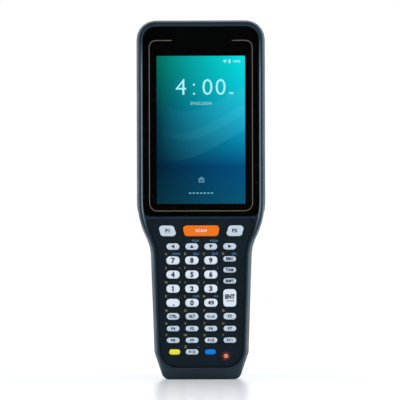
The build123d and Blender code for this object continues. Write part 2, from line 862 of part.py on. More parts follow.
# latch: a ribbed plate that slides up and a tongue that holds the pack
with BuildPart() as battery_latch:
    with BuildSketch(at_depth(latch_face_y)):
        with Locations((0, latch_foot_z + latch_height / 2)):
            Rectangle(latch_width, latch_height)
    extrude(amount=latch_plate_thickness)
    with BuildSketch(at_depth(latch_face_y + latch_rib_height)):
        with Locations((0, latch_foot_z + latch_height / 2)):
            with GridLocations(0, latch_height / latch_rib_count, 1, latch_rib_count):
                Rectangle(latch_width - 2, latch_rib_width)
    extrude(amount=latch_rib_height)
    with BuildSketch(at_depth(tongue_y + tongue_thickness)):
        with Locations((0, latch_foot_z)):
            tongue_height = battery_foot_z - tongue_clearance - latch_foot_z
            Rectangle(tongue_width, tongue_height, align=(Align.CENTER, Align.MIN))
    extrude(amount=tongue_thickness)
save(battery_latch.part, "battery_latch")

# contacts between the pack and the board
with BuildPart() as battery_contacts:
    with BuildSketch(at_depth(battery_front_y)):
        with Locations((0, contact_z)):
            with GridLocations(contact_pitch, 0, contact_count, 1):
                Rectangle(contact_width, contact_length)
    extrude(amount=bay_floor)
save(battery_contacts.part, "battery_contacts")

with BuildPart() as speaker:
    with BuildSketch(at_depth(cavity_back_y)):
        with Locations((0, speaker_z)):
            RectangleRounded(speaker_width, speaker_height, speaker_height / 4)
    extrude(amount=speaker_thickness)
save(speaker.part, "speaker")

# rear camera: window plate outside, barrel through the wall, body inside
with BuildPart() as rear_camera:
    with BuildSketch(at_depth(camera_y + camera_window_thickness)):
        with Locations((0, camera_z)):
            RectangleRounded(camera_window_width, camera_window_height, camera_window_corner)
    extrude(amount=camera_window_thickness)
    with BuildSketch(at_depth(camera_y)):
        with Locations((camera_barrel_x, camera_z)):
            Circle(camera_barrel_radius)
    extrude(amount=camera_y - cavity_back_y)
    with BuildSketch(at_depth(cavity_back_y)):
        with Locations((camera_barrel_x, camera_z)):
            Rectangle(camera_body_size, camera_body_size)
    extrude(amount=camera_body_thickness)
save(rear_camera.part, "rear_camera")

# screws: a round head in its well and a plain shank
with BuildPart() as housing_screws:
    with BuildSketch(at_depth(screw_seat_y + screw_head_height)):
        with Locations(*head_screws, *foot_screws):
            RegularPolygon(screw_head_radius, round_sides)
    extrude(amount=screw_head_height)
    with BuildSketch(at_depth(screw_seat_y)):
        with Locations(*head_screws, *foot_screws):
            RegularPolygon(screw_radius, round_sides)
    extrude(amount=screw_length)
save(housing_screws.part, "housing_screws")

# charging contacts, a little above the base so that the housing carries the weight
with BuildPart() as dock_contacts:
    with BuildSketch(Plane.XY.offset(dock_sink)):
        with Locations((0, dock_y)):
            with GridLocations(dock_pitch, 0, dock_count, 1):
                Rectangle(dock_width, dock_depth)
    extrude(amount=dock_length)
save(dock_contacts.part, "dock_contacts")
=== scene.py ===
from math import atan, copysign, cos, hypot, inf, pi, radians, sin, tan

import bmesh
import bpy
from mathutils import Matrix, Vector


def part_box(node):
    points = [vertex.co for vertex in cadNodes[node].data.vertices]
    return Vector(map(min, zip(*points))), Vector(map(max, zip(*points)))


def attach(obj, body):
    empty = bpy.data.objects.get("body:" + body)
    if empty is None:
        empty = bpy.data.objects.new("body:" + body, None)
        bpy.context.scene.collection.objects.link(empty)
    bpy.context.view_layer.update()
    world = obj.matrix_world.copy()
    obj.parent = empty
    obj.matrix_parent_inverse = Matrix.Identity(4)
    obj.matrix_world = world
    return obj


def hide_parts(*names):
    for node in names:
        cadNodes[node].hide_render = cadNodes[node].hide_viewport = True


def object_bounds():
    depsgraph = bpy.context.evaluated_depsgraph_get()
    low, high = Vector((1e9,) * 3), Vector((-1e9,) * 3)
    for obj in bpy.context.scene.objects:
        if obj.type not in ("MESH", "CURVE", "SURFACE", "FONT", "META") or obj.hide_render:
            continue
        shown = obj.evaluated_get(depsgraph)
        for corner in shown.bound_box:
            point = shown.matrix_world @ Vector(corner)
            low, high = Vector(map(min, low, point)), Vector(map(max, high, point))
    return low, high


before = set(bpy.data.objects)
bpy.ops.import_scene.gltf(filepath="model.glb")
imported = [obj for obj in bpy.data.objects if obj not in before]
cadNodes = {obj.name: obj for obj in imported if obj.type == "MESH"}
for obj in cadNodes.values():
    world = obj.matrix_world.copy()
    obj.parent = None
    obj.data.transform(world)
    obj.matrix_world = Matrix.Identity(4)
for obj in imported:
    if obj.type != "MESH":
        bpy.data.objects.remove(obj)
cadLow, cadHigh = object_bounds()
keyNodes = [node for node in sorted(cadNodes) if node.startswith("key_")]
mm = 0.001  # sizes and outlines are in mm and become metres where a mesh or a finish is made
print("frame loaded:", len(cadNodes), "CAD nodes")


# helpers for materials

materials = {}


def setInputs(owner, node, inputs):
    # each socket is fed by another node or holds a fixed value
    for name, value in inputs.items():
        if isinstance(value, bpy.types.NodeSocket):
            owner.node_tree.links.new(value, node.inputs[name])
        else:
            node.inputs[name].default_value = value


def addNode(owner, kind, inputs=None, **settings):
    node = owner.node_tree.nodes.new(kind)
    for key, value in settings.items():
        setattr(node, key, value)
    setInputs(owner, node, inputs or {})
    return node


def setSurface(material, inputs):
    setInputs(material, material.node_tree.nodes["Principled BSDF"], inputs)


def newMaterial(name, colour, roughness, metallic=0.0, specular=0.5):
    material = bpy.data.materials.new(name)
    material.use_nodes = True
    materials[name] = material
    setSurface(material, {
        "Base Color": (*colour, 1),
        "Roughness": roughness,
        "Metallic": metallic,
        "Specular IOR Level": specular,
    })
    return material


def objectNoise(owner, size, detail=2.0):
    # noise whose grain is about size across, fixed to the object
    place = addNode(owner, "ShaderNodeTexCoord").outputs["Object"]
    inputs = {"Vector": place, "Scale": 1 / (size * mm), "Detail": detail}
    return addNode(owner, "ShaderNodeTexNoise", inputs).outputs["Fac"]


def objectPlace(owner):
    # X, Y and Z of a point on the object, in metres
    place = addNode(owner, "ShaderNodeTexCoord").outputs["Object"]
    return addNode(owner, "ShaderNodeSeparateXYZ", {"Vector": place}).outputs


def spread(owner, value, low, high, start=0.3, end=0.7):
    # stretches start..end of a value to low..high
    inputs = {"Value": value, "From Min": start, "From Max": end, "To Min": low, "To Max": high}
    return addNode(owner, "ShaderNodeMapRange", inputs).outputs["Result"]


def ramp(owner, value, stops):
    # colour ramp from (place, colour) stops
    node = addNode(owner, "ShaderNodeValToRGB", {"Fac": value})
    points = node.color_ramp.elements
    while len(points) < len(stops):
        points.new(0.5)
    for point, (place, colour) in zip(points, stops):
        point.position = place
        point.color = (*colour, 1)
    return node.outputs["Color"]


def mottled(owner, value, colour, darkest, lightest=1.0):
    # colour that wavers between two shades of itself
    dark = [c * darkest for c in colour]
    light = [min(1, c * lightest) for c in colour]
    return ramp(owner, value, [(0.3, dark), (0.7, light)])


def calculated(owner, operation, *values):
    return addNode(owner, "ShaderNodeMath", dict(enumerate(values)), operation=operation).outputs[0]


def mixed(owner, kind, share, first, second):
    # mix of two numbers (FLOAT) or two colours (RGBA)
    inputs = {"Factor": share, "A": first, "B": second}
    return addNode(owner, "ShaderNodeMix", inputs, data_type=kind).outputs["Result"]


def bump(owner, value, height, strength=0.5):
    inputs = {"Distance": height * mm, "Strength": strength, "Height": value}
    return addNode(owner, "ShaderNodeBump", inputs).outputs["Normal"]


def mouldedPlastic(name, colour, roughness, grain, depth, shade):
    # plastic or rubber with a fine moulded grain and a slight unevenness of colour and gloss
    material = newMaterial(name, colour, roughness, specular=0.25)
    cloud = objectNoise(material, 14, 3)
    setSurface(material, {
        "Specular Tint": (0.78, 0.91, 1.0, 1),
        "Base Color": mottled(material, cloud, colour, 1 - shade, 1 + shade),
        "Roughness": spread(material, cloud, roughness + 0.05, roughness - 0.04),
        "Normal": bump(material, objectNoise(material, grain), depth),
    })


def brushedMetal(name, colour, roughness):
    material = newMaterial(name, colour, roughness, metallic=1.0)
    scratches = objectNoise(material, 0.4, 4)
    setSurface(material, {
        "Roughness": spread(material, scratches, roughness - 0.08, roughness + 0.12),
        "Normal": bump(material, scratches, 0.004, 0.3),
    })


def darkWindow(name, colour):
    # smooth window that is nearly opaque, with faint smears
    material = newMaterial(name, colour, 0.06)
    smears = objectNoise(material, 7, 4)
    setSurface(material, {
        "Roughness": spread(material, smears, 0.05, 0.12),
        "Base Color": mottled(material, smears, colour, 0.85),
    })


def clearGlass(name):
    material = newMaterial(name, (0.97, 0.98, 0.985), 0.02)
    smears = objectNoise(material, 9, 4)
    setSurface(material, {
        "Transmission Weight": 1.0,
        "IOR": 1.45,
        "Roughness": spread(material, smears, 0.01, 0.04),
    })


def printInk(name, colour, roughness):
    material = newMaterial(name, colour, roughness)
    patches = objectNoise(material, 0.8)
    setSurface(material, {"Base Color": mottled(material, patches, colour, 0.88)})


def glowInk(name, colour, strength):
    # lit marks on the screen, with a faint unevenness
    material = newMaterial(name, (0, 0, 0), 0.9, specular=0.0)
    patches = objectNoise(material, 1.5)
    setSurface(material, {
        "Emission Color": mottled(material, patches, colour, 0.94),
        "Emission Strength": strength,
    })


plasticFinishes = {
    # name: colour, roughness, grain size, grain depth
    "housingSlate": ((0.005, 0.019, 0.031), 0.40, 0.35, 0.016),
    # the pale grey of the rim stripes is a painted highlight
    "rimPaintedHighlight": ((0.135, 0.165, 0.210), 0.45, 0.35, 0.010),
    "bumperRubber": ((0.030, 0.042, 0.062), 0.50, 0.50, 0.025),
    "sealRubber": ((0.012, 0.012, 0.013), 0.75, 0.50, 0.030),
    "panelBlack": ((0.0030, 0.0088, 0.0140), 0.5, 0.25, 0.012),
    "matSilicone": ((0.2, 0.2, 0.2), 0.7, 0.50, 0.020),
    "boardGreen": ((0.015, 0.10, 0.035), 0.4, 0.60, 0.010),
    "batteryBlack": ((0.016, 0.021, 0.026), 0.5, 0.45, 0.030),
    "latchOrange": ((0.75, 0.16, 0.012), 0.45, 0.30, 0.015),
    "speakerBlack": ((0.010, 0.010, 0.011), 0.8, 0.30, 0.040),
    "screenFrame": ((0.020, 0.020, 0.022), 0.6, 0.30, 0.010),
    "flashLens": ((0.62, 0.60, 0.50), 0.35, 0.80, 0.020),
}
for name, finish in plasticFinishes.items():
    mouldedPlastic(name, *finish, shade=0.12)

keyFinishes = {
    "keyWhite": (0.74, 0.80, 0.865),
    "keyGrey": (0.57, 0.645, 0.725),
    "keyOrange": (0.89, 0.172, 0.006),
    "keyYellow": (0.82, 0.77, 0.05),
    "keyBlue": (0.001, 0.185, 0.68),
    "keyRed": (0.76, 0.22, 0.16),
}
for name, colour in keyFinishes.items():
    mouldedPlastic(name, colour, roughness=0.40, grain=0.30, depth=0.005, shade=0.03)

metalFinishes = {
    # name: colour, roughness
    "domeSteel": ((0.58, 0.58, 0.59), 0.3),
    "chassisAlloy": ((0.52, 0.53, 0.55), 0.5),
    "engineAlloy": ((0.10, 0.10, 0.11), 0.45),
    "contactGold": ((0.85, 0.60, 0.24), 0.25),
    "screwSteel": ((0.12, 0.12, 0.13), 0.35),
    "ringSteel": ((0.30, 0.31, 0.33), 0.30),
}
for name, finish in metalFinishes.items():
    brushedMetal(name, *finish)

inks = {
    # name: colour, roughness
    "inkDark": ((0.016, 0.020, 0.034), 0.55),
    "inkWhite": ((0.85, 0.87, 0.88), 0.5),
    "inkYellow": ((0.30, 0.27, 0.07), 0.6),
    "inkBlue": ((0.09, 0.21, 0.38), 0.6),
    "inkPale": ((0.20, 0.25, 0.28), 0.6),
    "inkRed": ((0.12, 0.008, 0.008), 0.6),
    "inkBorder": ((0.0016, 0.0018, 0.0022), 0.8),
    "inkOrange": ((0.20, 0.165, 0.135), 0.5),
}
for name, finish in inks.items():
    printInk(name, *finish)

darkWindow("scanGlass", (0.035, 0.004, 0.005))
darkWindow("cameraGlass", (0.006, 0.006, 0.008))
glowInk("glowWhite", (0.38, 0.92, 1.0), 1.1)
glowInk("glowPale", (0.26, 0.62, 0.88), 0.9)
clearGlass("coverGlass")

specularLevels = {"housingSlate": 0.32, "inkBorder": 0}
for name, level in specularLevels.items():
    setSurface(materials[name], {"Specular IOR Level": level})

# the rim's painted highlight fades over the top and is dimmed at the lower end, as painted shade
rimPaintedShade = (0.018, 0.032, 0.046)
rimHighlightColour = plasticFinishes["rimPaintedHighlight"][0]
rimLightStops = [(0.07, rimPaintedShade), (0.40, rimPaintedShade), (0.47, rimHighlightColour), (0.85, rimHighlightColour), (0.95, rimPaintedShade)]


def fadeRim(rim):
    height = spread(rim, objectPlace(rim)["Z"], 0, 1, 0, cadHigh.z)
    setSurface(rim, {"Base Color": ramp(rim, height, rimLightStops)})


fadeRim(materials["rimPaintedHighlight"])

wallpaper = {
    "leftStops": [
        (0.0, (0.002, 0.035, 0.055)),
        (0.25, (0.000, 0.017, 0.040)),
        (0.60, (0.000, 0.043, 0.070)),
        (1.0, (0.000, 0.170, 0.105)),
    ],
    "rightStops": [
        (0.0, (0.002, 0.105, 0.200)),
        (0.25, (0.000, 0.090, 0.250)),
        (0.60, (0.002, 0.500, 0.740)),
        (1.0, (0.001, 0.880, 0.900)),
    ],
    "ribbonColour": (0.10, 0.78, 0.88, 1),
    "ribbonEdge": 0.004,
    "ribbons": [
        # height on the screen, swing, waves across, phase, width, brightening
        (0.63, 0.10, 0.55, 3.6, 0.10, 0.11),
        (0.50, 0.12, 0.45, 4.2, 0.09, 0.10),
    ],
    "strength": 0.92,
}


def wallpaperMaterial(left, foot, right, top):
    # soft colours that change from corner to corner, with pale ribbons across them
    material = newMaterial("screenPicture", (0, 0, 0), 0.9, specular=0.0)
    place = objectPlace(material)
    across = spread(material, place["X"], 0, 1, left * mm, right * mm)
    along = spread(material, place["Z"], 0, 1, foot * mm, top * mm)
    sides = [ramp(material, along, wallpaper[name]) for name in ("leftStops", "rightStops")]
    colour = mixed(material, "RGBA", across, *sides)
    for height, swing, waves, phase, width, gain in wallpaper["ribbons"]:
        turn = calculated(material, "MULTIPLY_ADD", across, 2 * pi * waves, phase)
        wave = calculated(material, "SINE", turn)
        middle = calculated(material, "MULTIPLY_ADD", wave, swing, height)
        away = calculated(material, "ABSOLUTE", calculated(material, "SUBTRACT", along, middle))
        inside = spread(material, away, gain, 0, width - wallpaper["ribbonEdge"], width)
        faded = calculated(material, "MULTIPLY", inside, across)
        colour = mixed(material, "RGBA", faded, colour, wallpaper["ribbonColour"])
    setSurface(material, {"Emission Color": colour, "Emission Strength": wallpaper["strength"]})


print("materials made:", len(materials))


# helpers for outlines, as points (x, z)

def roundedPath(corners, steps=8):
    # closed path with each (x, z, radius) corner rounded in steps
    path = []
    for i, (x, z, radius) in enumerate(corners):
        here = Vector((x, z))
        before = (Vector(corners[i - 1][:2]) - here).normalized()
        after = (Vector(corners[(i + 1) % len(corners)][:2]) - here).normalized()
        if radius <= 0:
            path.append(here)
            continue
        half = before.angle(after) / 2
        centre = here + (before + after).normalized() * radius / sin(half)
        start = here + before * radius / tan(half) - centre
        turn = (pi - 2 * half) * (1 if before.x * after.y - before.y * after.x > 0 else -1)
        for k in range(steps + 1):
            path.append(centre + Matrix.Rotation(-turn * k / steps, 2) @ start)
    return path


def quarterTurns(steps):
    # angles from 0 to a quarter turn
    return [k / steps * pi / 2 for k in range(steps + 1)]


def arcPoints(x, z, radius, start, end, steps):
    # points on an arc, with angles in degrees from the right
    turns = [radians(start + (end - start) * k / steps) for k in range(steps + 1)]
    return [(x + radius * cos(a), z + radius * sin(a)) for a in turns]


def circlePath(x, z, radius, sides=32):
    return arcPoints(x, z, radius, 0, 360, sides)[:-1]


def ringMark(x, z, outer, inner, start, end, steps=16):
    # stretch of a flat ring
    return arcPoints(x, z, outer, start, end, steps) + arcPoints(x, z, inner, end, start, steps)


def rectPath(left, foot, right, top, radius, steps=4):
    corners = [(right, top, radius), (right, foot, radius), (left, foot, radius), (left, top, radius)]
    return roundedPath(corners, steps)


def barMark(x, z, width, height, radius=0.0):
    return rectPath(x - width / 2, z - height / 2, x + width / 2, z + height / 2, radius, 3)


def turned(points, degrees, shiftX=0.0):
    rotation = Matrix.Rotation(radians(degrees), 2)
    return [rotation @ Vector(point) + Vector((shiftX, 0)) for point in points]


def cutPath(path, lowZ, highZ=inf):
    # the stretch of a closed path between two heights, closed straight across
    kept = []
    for i, here in enumerate(path):
        after = path[(i + 1) % len(path)]
        if lowZ <= here.y <= highZ:
            kept.append(here)
        for level in (lowZ, highZ):
            if (here.y - level) * (after.y - level) < 0:
                share = (level - here.y) / (after.y - here.y)
                kept.append(here.lerp(after, share))
    return kept


def evenPath(path, count):
    # the same open path with evenly spaced points
    lengths = [0.0]
    for a, b in zip(path, path[1:]):
        lengths.append(lengths[-1] + (b - a).length)
    even = []
    spot = 0
    for k in range(count):
        want = lengths[-1] * k / (count - 1)
        while spot < len(lengths) - 2 and lengths[spot + 1] < want:
            spot += 1
        share = (want - lengths[spot]) / (lengths[spot + 1] - lengths[spot])
        even.append(path[spot].lerp(path[spot + 1], share))
    return even


def ringAt(path, y):
    # an outline as points in space, all at one depth
    return [(x * mm, y * mm, z * mm) for x, z in path]


def boxOf(node):
    # lowest and highest corner of a CAD node
    return [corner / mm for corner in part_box(node)]


def boxMiddle(node):
    low, high = boxOf(node)
    return (low.x + high.x) / 2, (low.z + high.z) / 2


# helpers for meshes

weldGap = 1e-6
levelNormal = 0.9995  # faces as square as this to the front or back keep a level shine


def dress(piece, body, slot, *replaced):
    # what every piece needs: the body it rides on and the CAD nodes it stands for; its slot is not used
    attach(piece, body)
    if replaced:
        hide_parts(*replaced)


def placeObject(name, data):
    made = bpy.data.objects.new(name, data)
    bpy.context.scene.collection.objects.link(made)
    return made


def meshObject(name, bm, material, smoothAngle=40):
    bmesh.ops.recalc_face_normals(bm, faces=bm.faces)
    mesh = bpy.data.meshes.new(name)
    bm.to_mesh(mesh)
    bm.free()
    mesh.materials.append(materials[material])
    mesh.set_sharp_from_angle(angle=radians(smoothAngle))
    for face in mesh.polygons:
        face.use_smooth = abs(face.normal.y) < levelNormal
    return placeObject(name, mesh)


def joinMarks(name, marks, material, smoothAngle=30):
    # one object from one or several small meshes
    bm = bmesh.new()
    for mark in marks:
        bm.from_mesh(mark)
        bpy.data.meshes.remove(mark)
    bmesh.ops.remove_doubles(bm, verts=bm.verts, dist=weldGap)
    return meshObject(name, bm, material, smoothAngle)


def loftRings(bm, rings, closeLoop=False):
    # joins rings of equal length, then closes the last to the first or caps both ends
    made = [[bm.verts.new(point) for point in ring] for ring in rings]
    pairs = list(zip(made, made[1:]))
    if closeLoop:
        pairs.append((made[-1], made[0]))
    for lower, upper in pairs:
        for i in range(len(lower)):
            j = (i + 1) % len(lower)
            bm.faces.new((lower[i], lower[j], upper[j], upper[i]))
    if not closeLoop:
        bm.faces.new(made[0])
        bm.faces.new(list(reversed(made[-1])))


def openBand(name, lines, material):
    # closed band from several lines of points, one round each edge of its section
    bm = bmesh.new()
    rings = [[bm.verts.new(point) for point in line] for line in lines]
    for lower, upper in zip(rings, rings[1:] + rings[:1]):
        for i in range(len(lower) - 1):
            bm.faces.new((lower[i], lower[i + 1], upper[i + 1], upper[i]))
    bm.faces.new([ring[0] for ring in rings])
    bm.faces.new([ring[-1] for ring in reversed(rings)])
    return meshObject(name, bm, material)


def shapePlate(path, faceY, thickness=0.02):
    # thin mark with the given outline
    bm = bmesh.new()
    loftRings(bm, [ringAt(path, faceY), ringAt(path, faceY + thickness)])
    mesh = bpy.data.meshes.new("mark")
    bm.to_mesh(mesh)
    bm.free()
    return mesh


def curveMesh(curve, x, y, z, squeeze=1.0):
    # mesh of a flat curve or of lettering, stood up at a place and facing the front
    holder = placeObject(curve.name, curve)
    bpy.context.view_layer.update()
    mesh = bpy.data.meshes.new_from_object(holder.evaluated_get(bpy.context.evaluated_depsgraph_get()))
    bpy.data.objects.remove(holder)
    bpy.data.curves.remove(curve)
    mesh.transform(Matrix.Diagonal((squeeze, 1, 1, 1)))
    mesh.transform(Matrix.Translation(Vector((x, y, z)) * mm) @ Matrix.Rotation(pi / 2, 4, "X"))
    return mesh


def flatPlate(name, outlines, frontY, backY, edge, material):
    # flat plates with rounded edges; an outline inside another is a hole
    curve = bpy.data.curves.new(name, "CURVE")
    curve.dimensions = "2D"
    curve.fill_mode = "BOTH"
    curve.extrude = ((backY - frontY) / 2 - edge) * mm
    curve.bevel_depth = edge * mm
    curve.bevel_resolution = 2
    curve.offset = -edge * mm
    for outline in outlines:
        spline = curve.splines.new("POLY")
        spline.points.add(len(outline) - 1)
        for point, (x, z) in zip(spline.points, outline):
            point.co = (x * mm, z * mm, 0, 1)
        spline.use_cyclic_u = True
    return joinMarks(name, [curveMesh(curve, 0, (frontY + backY) / 2, 0)], material, 50)


lettersPrint = {
    "capShare": 0.729,  # height of a capital in a font of size 1
    "thickness": 0.01,
    "lift": 0.01,  # print stands this far off its face
}


def lettering(text, capHeight, x, z, faceY, align="CENTER", weight=0.012, squeeze=1.0):
    # mesh of a few characters, set at x by align and with their middle at height z
    curve = bpy.data.curves.new("words", "FONT")
    curve.body = text
    curve.size = capHeight * mm / lettersPrint["capShare"]
    curve.align_x = align
    curve.offset = weight * curve.size
    curve.extrude = lettersPrint["thickness"] * mm
    curve.resolution_u = 3
    return curveMesh(curve, x, faceY, z - capHeight / 2, squeeze)


# outline of the body, with the same corners as the CAD source

body = {
    "halfWidth": 40.4,
    "height": 226.0,
    "topRadius": 12.0,
    "shoulderTop": 113.0,
    "shoulderFoot": 77.0,
    "shoulderShare": 0.64,
    "shoulderUse": 0.97,  # how much of the shoulder its two arcs take up
    "waist": 31.9,
    "heel": 29.7,
    "heelZ": 17.0,
    "heelRadius": 8.0,
    "base": 23.8,
    "slantUse": 0.95,  # how much of the slant below the heel the two corners may take up
    "heelPart": 1 / 3,
    "footPart": 0.8,
}


def bodyCorners(headInset, gripInset, footZ, footRadius):
    # corners with their radii, clockwise from the top right
    sideX = body["halfWidth"] - headInset
    waistX = body["waist"] - gripInset
    drop = body["shoulderTop"] - body["shoulderFoot"]
    halfTurn = atan((sideX - waistX) / drop)
    arcs = body["shoulderUse"] * drop / sin(2 * halfTurn)
    upperRadius = arcs * body["shoulderShare"]
    lowerRadius = arcs - upperRadius
    slope = (body["heel"] - body["base"]) / body["heelZ"]
    heelX = body["heel"] - gripInset
    footX = body["base"] - gripInset + slope * footZ
    lean = atan(slope)
    slant = body["slantUse"] * hypot(heelX - footX, body["heelZ"] - footZ)
    heelRadius = min(body["heelRadius"], slant * body["heelPart"] / tan(lean / 2))
    footRadius = min(footRadius, slant * body["footPart"] / tan((pi / 2 - lean) / 2))
    right = [
        (sideX, body["height"] - headInset, body["topRadius"] - headInset),
        (sideX, body["shoulderTop"] - upperRadius * tan(halfTurn), upperRadius),
        (waistX, body["shoulderFoot"] + lowerRadius * tan(halfTurn), lowerRadius),
        (heelX, body["heelZ"], heelRadius),
        (footX, footZ, footRadius),
    ]
    return right + [(-x, z, radius) for x, z, radius in reversed(right)]


def bodyPath(headInset, gripInset, footZ=0.0, footRadius=5.0, steps=12):
    return roundedPath(bodyCorners(headInset, gripInset, footZ, footRadius), steps)


def bodyRing(y, *shape):
    return ringAt(bodyPath(*shape), y)


# front housing: sides that lean in to a rounded rim, with a well for the glass and one for the keypad

housing = {
    "partingY": -5.0,
    "sideY": -11.0,
    "frontY": -18.47,
    "sideInset": 0.3,
    "sideSteps": 4,
    "headLean": 0.8,
    "gripLean": 1.7,
    "gripMost": 3.0,
    "chinZ": 6.9,
    "chinMost": 7.2,
    "footRadius": 5,
    "footGrowth": 6,
    "rimRound": 1.3,
    "rimSteps": 6,
    "rimShare": 0.85,
    # insets at the head and the grip, height of the foot, radius of its corners
    "lip": (3.5, 3.05, 7.3, 10.7),
    "lipEdge": (3.64, 3.15, 7.44, 10.7),
    "well": (3.7, 3.2, 7.5, 10.7),
    "ledge": (6.0, 6.0, 10.5, 8.0),
    "inside": (3.4, 3.4, 9.0, 9.0),
    "lipEdgeDepth": 0.06,
    "lipDepth": 0.25,
    "wellBackY": -16.1,
    "ledgeBackY": -14.6,
    "dividerInset": 3.4,
    "dividerFoot": 100.8,
    "dividerTop": 102.7,
    "dividerY": -17.8,
    "dividerBackY": -15.1,
    "dividerEdge": 0.25,
    "cornerInset": 3.5,
    "cornerRadius": 3.0,
    "cornerSteps": 8,
    "cornerSunk": 0.3,
    "cornerOverlap": 0.1,
    "cornerBackY": -15.9,
}


def wallRing(y, inward=0.0):
    # the wall at one depth: it leans in towards the front, more so at the grip and the chin
    part = (y - housing["sideY"]) / (housing["frontY"] - housing["sideY"])
    headInset = housing["sideInset"] + housing["headLean"] * part + inward
    gripInset = min(housing["gripMost"], housing["gripLean"] * part + inward)
    footZ = min(housing["chinMost"], housing["chinZ"] * part + inward)
    footRadius = housing["footRadius"] + housing["footGrowth"] * part - inward
    return bodyRing(y, headInset, gripInset, footZ, footRadius)


def frontShell():
    front, wellBack, ledgeBack = housing["frontY"], housing["wellBackY"], housing["ledgeBackY"]
    rimY = front + housing["rimRound"]
    rings = [bodyRing(housing["partingY"], housing["sideInset"], 0)]
    for k in range(housing["sideSteps"] + 1):
        rings.append(wallRing(housing["sideY"] + (rimY - housing["sideY"]) * k / housing["sideSteps"]))
    for angle in quarterTurns(housing["rimSteps"])[1:]:
        inward = housing["rimRound"] * (1 - cos(angle)) * housing["rimShare"]
        rings.append(wallRing(rimY - housing["rimRound"] * sin(angle), inward))
    wellRings = [
        (front, "lip"),
        (front + housing["lipEdgeDepth"], "lipEdge"),
        (front + housing["lipDepth"], "well"),
        (wellBack, "well"),
        (wellBack, "ledge"),
        (ledgeBack, "ledge"),
        (ledgeBack, "inside"),
        (housing["partingY"], "inside"),
    ]
    rings += [bodyRing(y, *housing[name]) for y, name in wellRings]
    bm = bmesh.new()
    loftRings(bm, rings, closeLoop=True)
    loftRings(bm, dividerRings())
    return meshObject("frontHousing", bm, "housingSlate")


def dividerRings():
    # bar between the glass and the keypad, with a soft front edge
    path = bodyPath(housing["dividerInset"], housing["dividerInset"])
    edge = housing["dividerEdge"]
    depths = [(housing["dividerBackY"], 0), (housing["dividerY"] + edge, 0), (housing["dividerY"], edge)]
    rings = []
    for y, narrower in depths:
        bar = cutPath(path, housing["dividerFoot"] + narrower, housing["dividerTop"] - narrower)
        rings.append(ringAt(bar, y))
    return rings


def cornerFills():
    # rounded inner corners above and below the divider, where it runs into the rim
    radius = housing["cornerRadius"]
    path = bodyPath(housing["cornerInset"], housing["cornerInset"], steps=24)
    bm = bmesh.new()
    for level, way in ((housing["dividerTop"], 1), (housing["dividerFoot"], -1)):
        sunk = level - way * housing["cornerSunk"]
        low, high = sorted((sunk, level + way * radius))
        for side in (1, -1):
            rimSide = [p for p in cutPath(path, low, high) if p.x * side > 0]
            rimSide.sort(key=lambda p: p.y * way)
            foot = min(abs(p.x) for p in rimSide) - housing["cornerOverlap"]
            arc = []
            for angle in quarterTurns(housing["cornerSteps"]):
                x = (foot - radius * (1 - sin(angle))) * side
                arc.append((x, level + way * radius * (1 - cos(angle))))
            outline = rimSide + arc[::-1] + [(arc[0][0], sunk)]
            loftRings(bm, [ringAt(outline, housing["dividerY"]), ringAt(outline, housing["cornerBackY"])])
    return meshObject("rimCorners", bm, "housingSlate")


dress(frontShell(), "terminal", "housing_slate", "front_housing")
dress(cornerFills(), "terminal", "housing_slate")
print("front housing made")

# soft band round the head, and a paler stripe along the rim that is a painted highlight

bumper = {
    "footZ": 106.0,
    "frontY": -10.0,
    "backY": -1.0,
    "depth": 1.1,
    "edge": 0.45,
    "edgeSteps": 4,
    "points": 90,
}
stripe = {
    "footZ": 88.0,
    "topZ": 16.0,
    "headPoints": 110,
    "footPoints": 70,
    "headSection": [
        # insets at the head and the grip, depth behind the front of the rim
        (2.6, 2.6, 0.05),
        (2.65, 2.65, -0.03),
        (3.56, 3.03, -0.03),
        (3.68, 3.15, 0.12),
        (3.68, 3.15, 0.3),
    ],
    "footSection": [
        # inset at the sides, height of the foot, depth behind the front of the rim
        (2.5, 6.85, 0.05),
        (2.55, 6.9, -0.03),
        (3.1, 7.4, -0.03),
        (3.18, 7.48, 0.3),
    ],
}


def rightFoot(path):
    # place in the list of the lowest point on the right
    return max(range(len(path)), key=lambda i: (path[i].x > 0, -path[i].y))


def headPath(headInset, gripInset, footZ, count):
    # the head's outline from its right foot over the top to its left foot
    kept = cutPath(bodyPath(headInset, gripInset, steps=24), footZ)
    first = rightFoot(kept)
    kept = kept[first:] + kept[:first]
    if kept[1].y < kept[-1].y:
        kept = [kept[0]] + list(reversed(kept[1:]))
    return evenPath(kept, count)


def headBand():
    edge, front, rear = bumper["edge"], bumper["frontY"], bumper["backY"]
    turns = quarterTurns(bumper["edgeSteps"])
    section = [(edge * (1 - sin(a)), front + edge * (1 - cos(a))) for a in turns]
    section += [(edge * (1 - cos(a)), rear - edge * (1 - sin(a))) for a in turns]
    section += [(bumper["depth"], rear), (bumper["depth"], front)]
    lines = [ringAt(headPath(inset, inset, bumper["footZ"], bumper["points"]), y) for inset, y in section]
    return openBand("headBumper", lines, "bumperRubber")


def headStripe():
    # painted highlight along the rim round the glass
    lines = []
    for headInset, gripInset, depth in stripe["headSection"]:
        path = headPath(headInset, gripInset, stripe["footZ"], stripe["headPoints"])
        lines.append(ringAt(path, housing["frontY"] + depth))
    return openBand("headStripe", lines, "rimPaintedHighlight")


def footStripe():
    # painted highlight along the lower end of the keypad
    footRadius = housing["well"][3]
    lines = []
    for inset, footZ, depth in stripe["footSection"]:
        path = cutPath(bodyPath(inset, inset, footZ, footRadius, 24), 0, stripe["topZ"])
        lines.append(ringAt(evenPath(path, stripe["footPoints"]), housing["frontY"] + depth))
    return openBand("footStripe", lines, "rimPaintedHighlight")


dress(headStripe(), "terminal", "housing_slate")
dress(footStripe(), "terminal", "housing_slate")
dress(headBand(), "terminal", "bumper_rubber", "head_bumper")
print("bumper made")

# cover glass, its black border, the thin line on it and the lit screen behind it

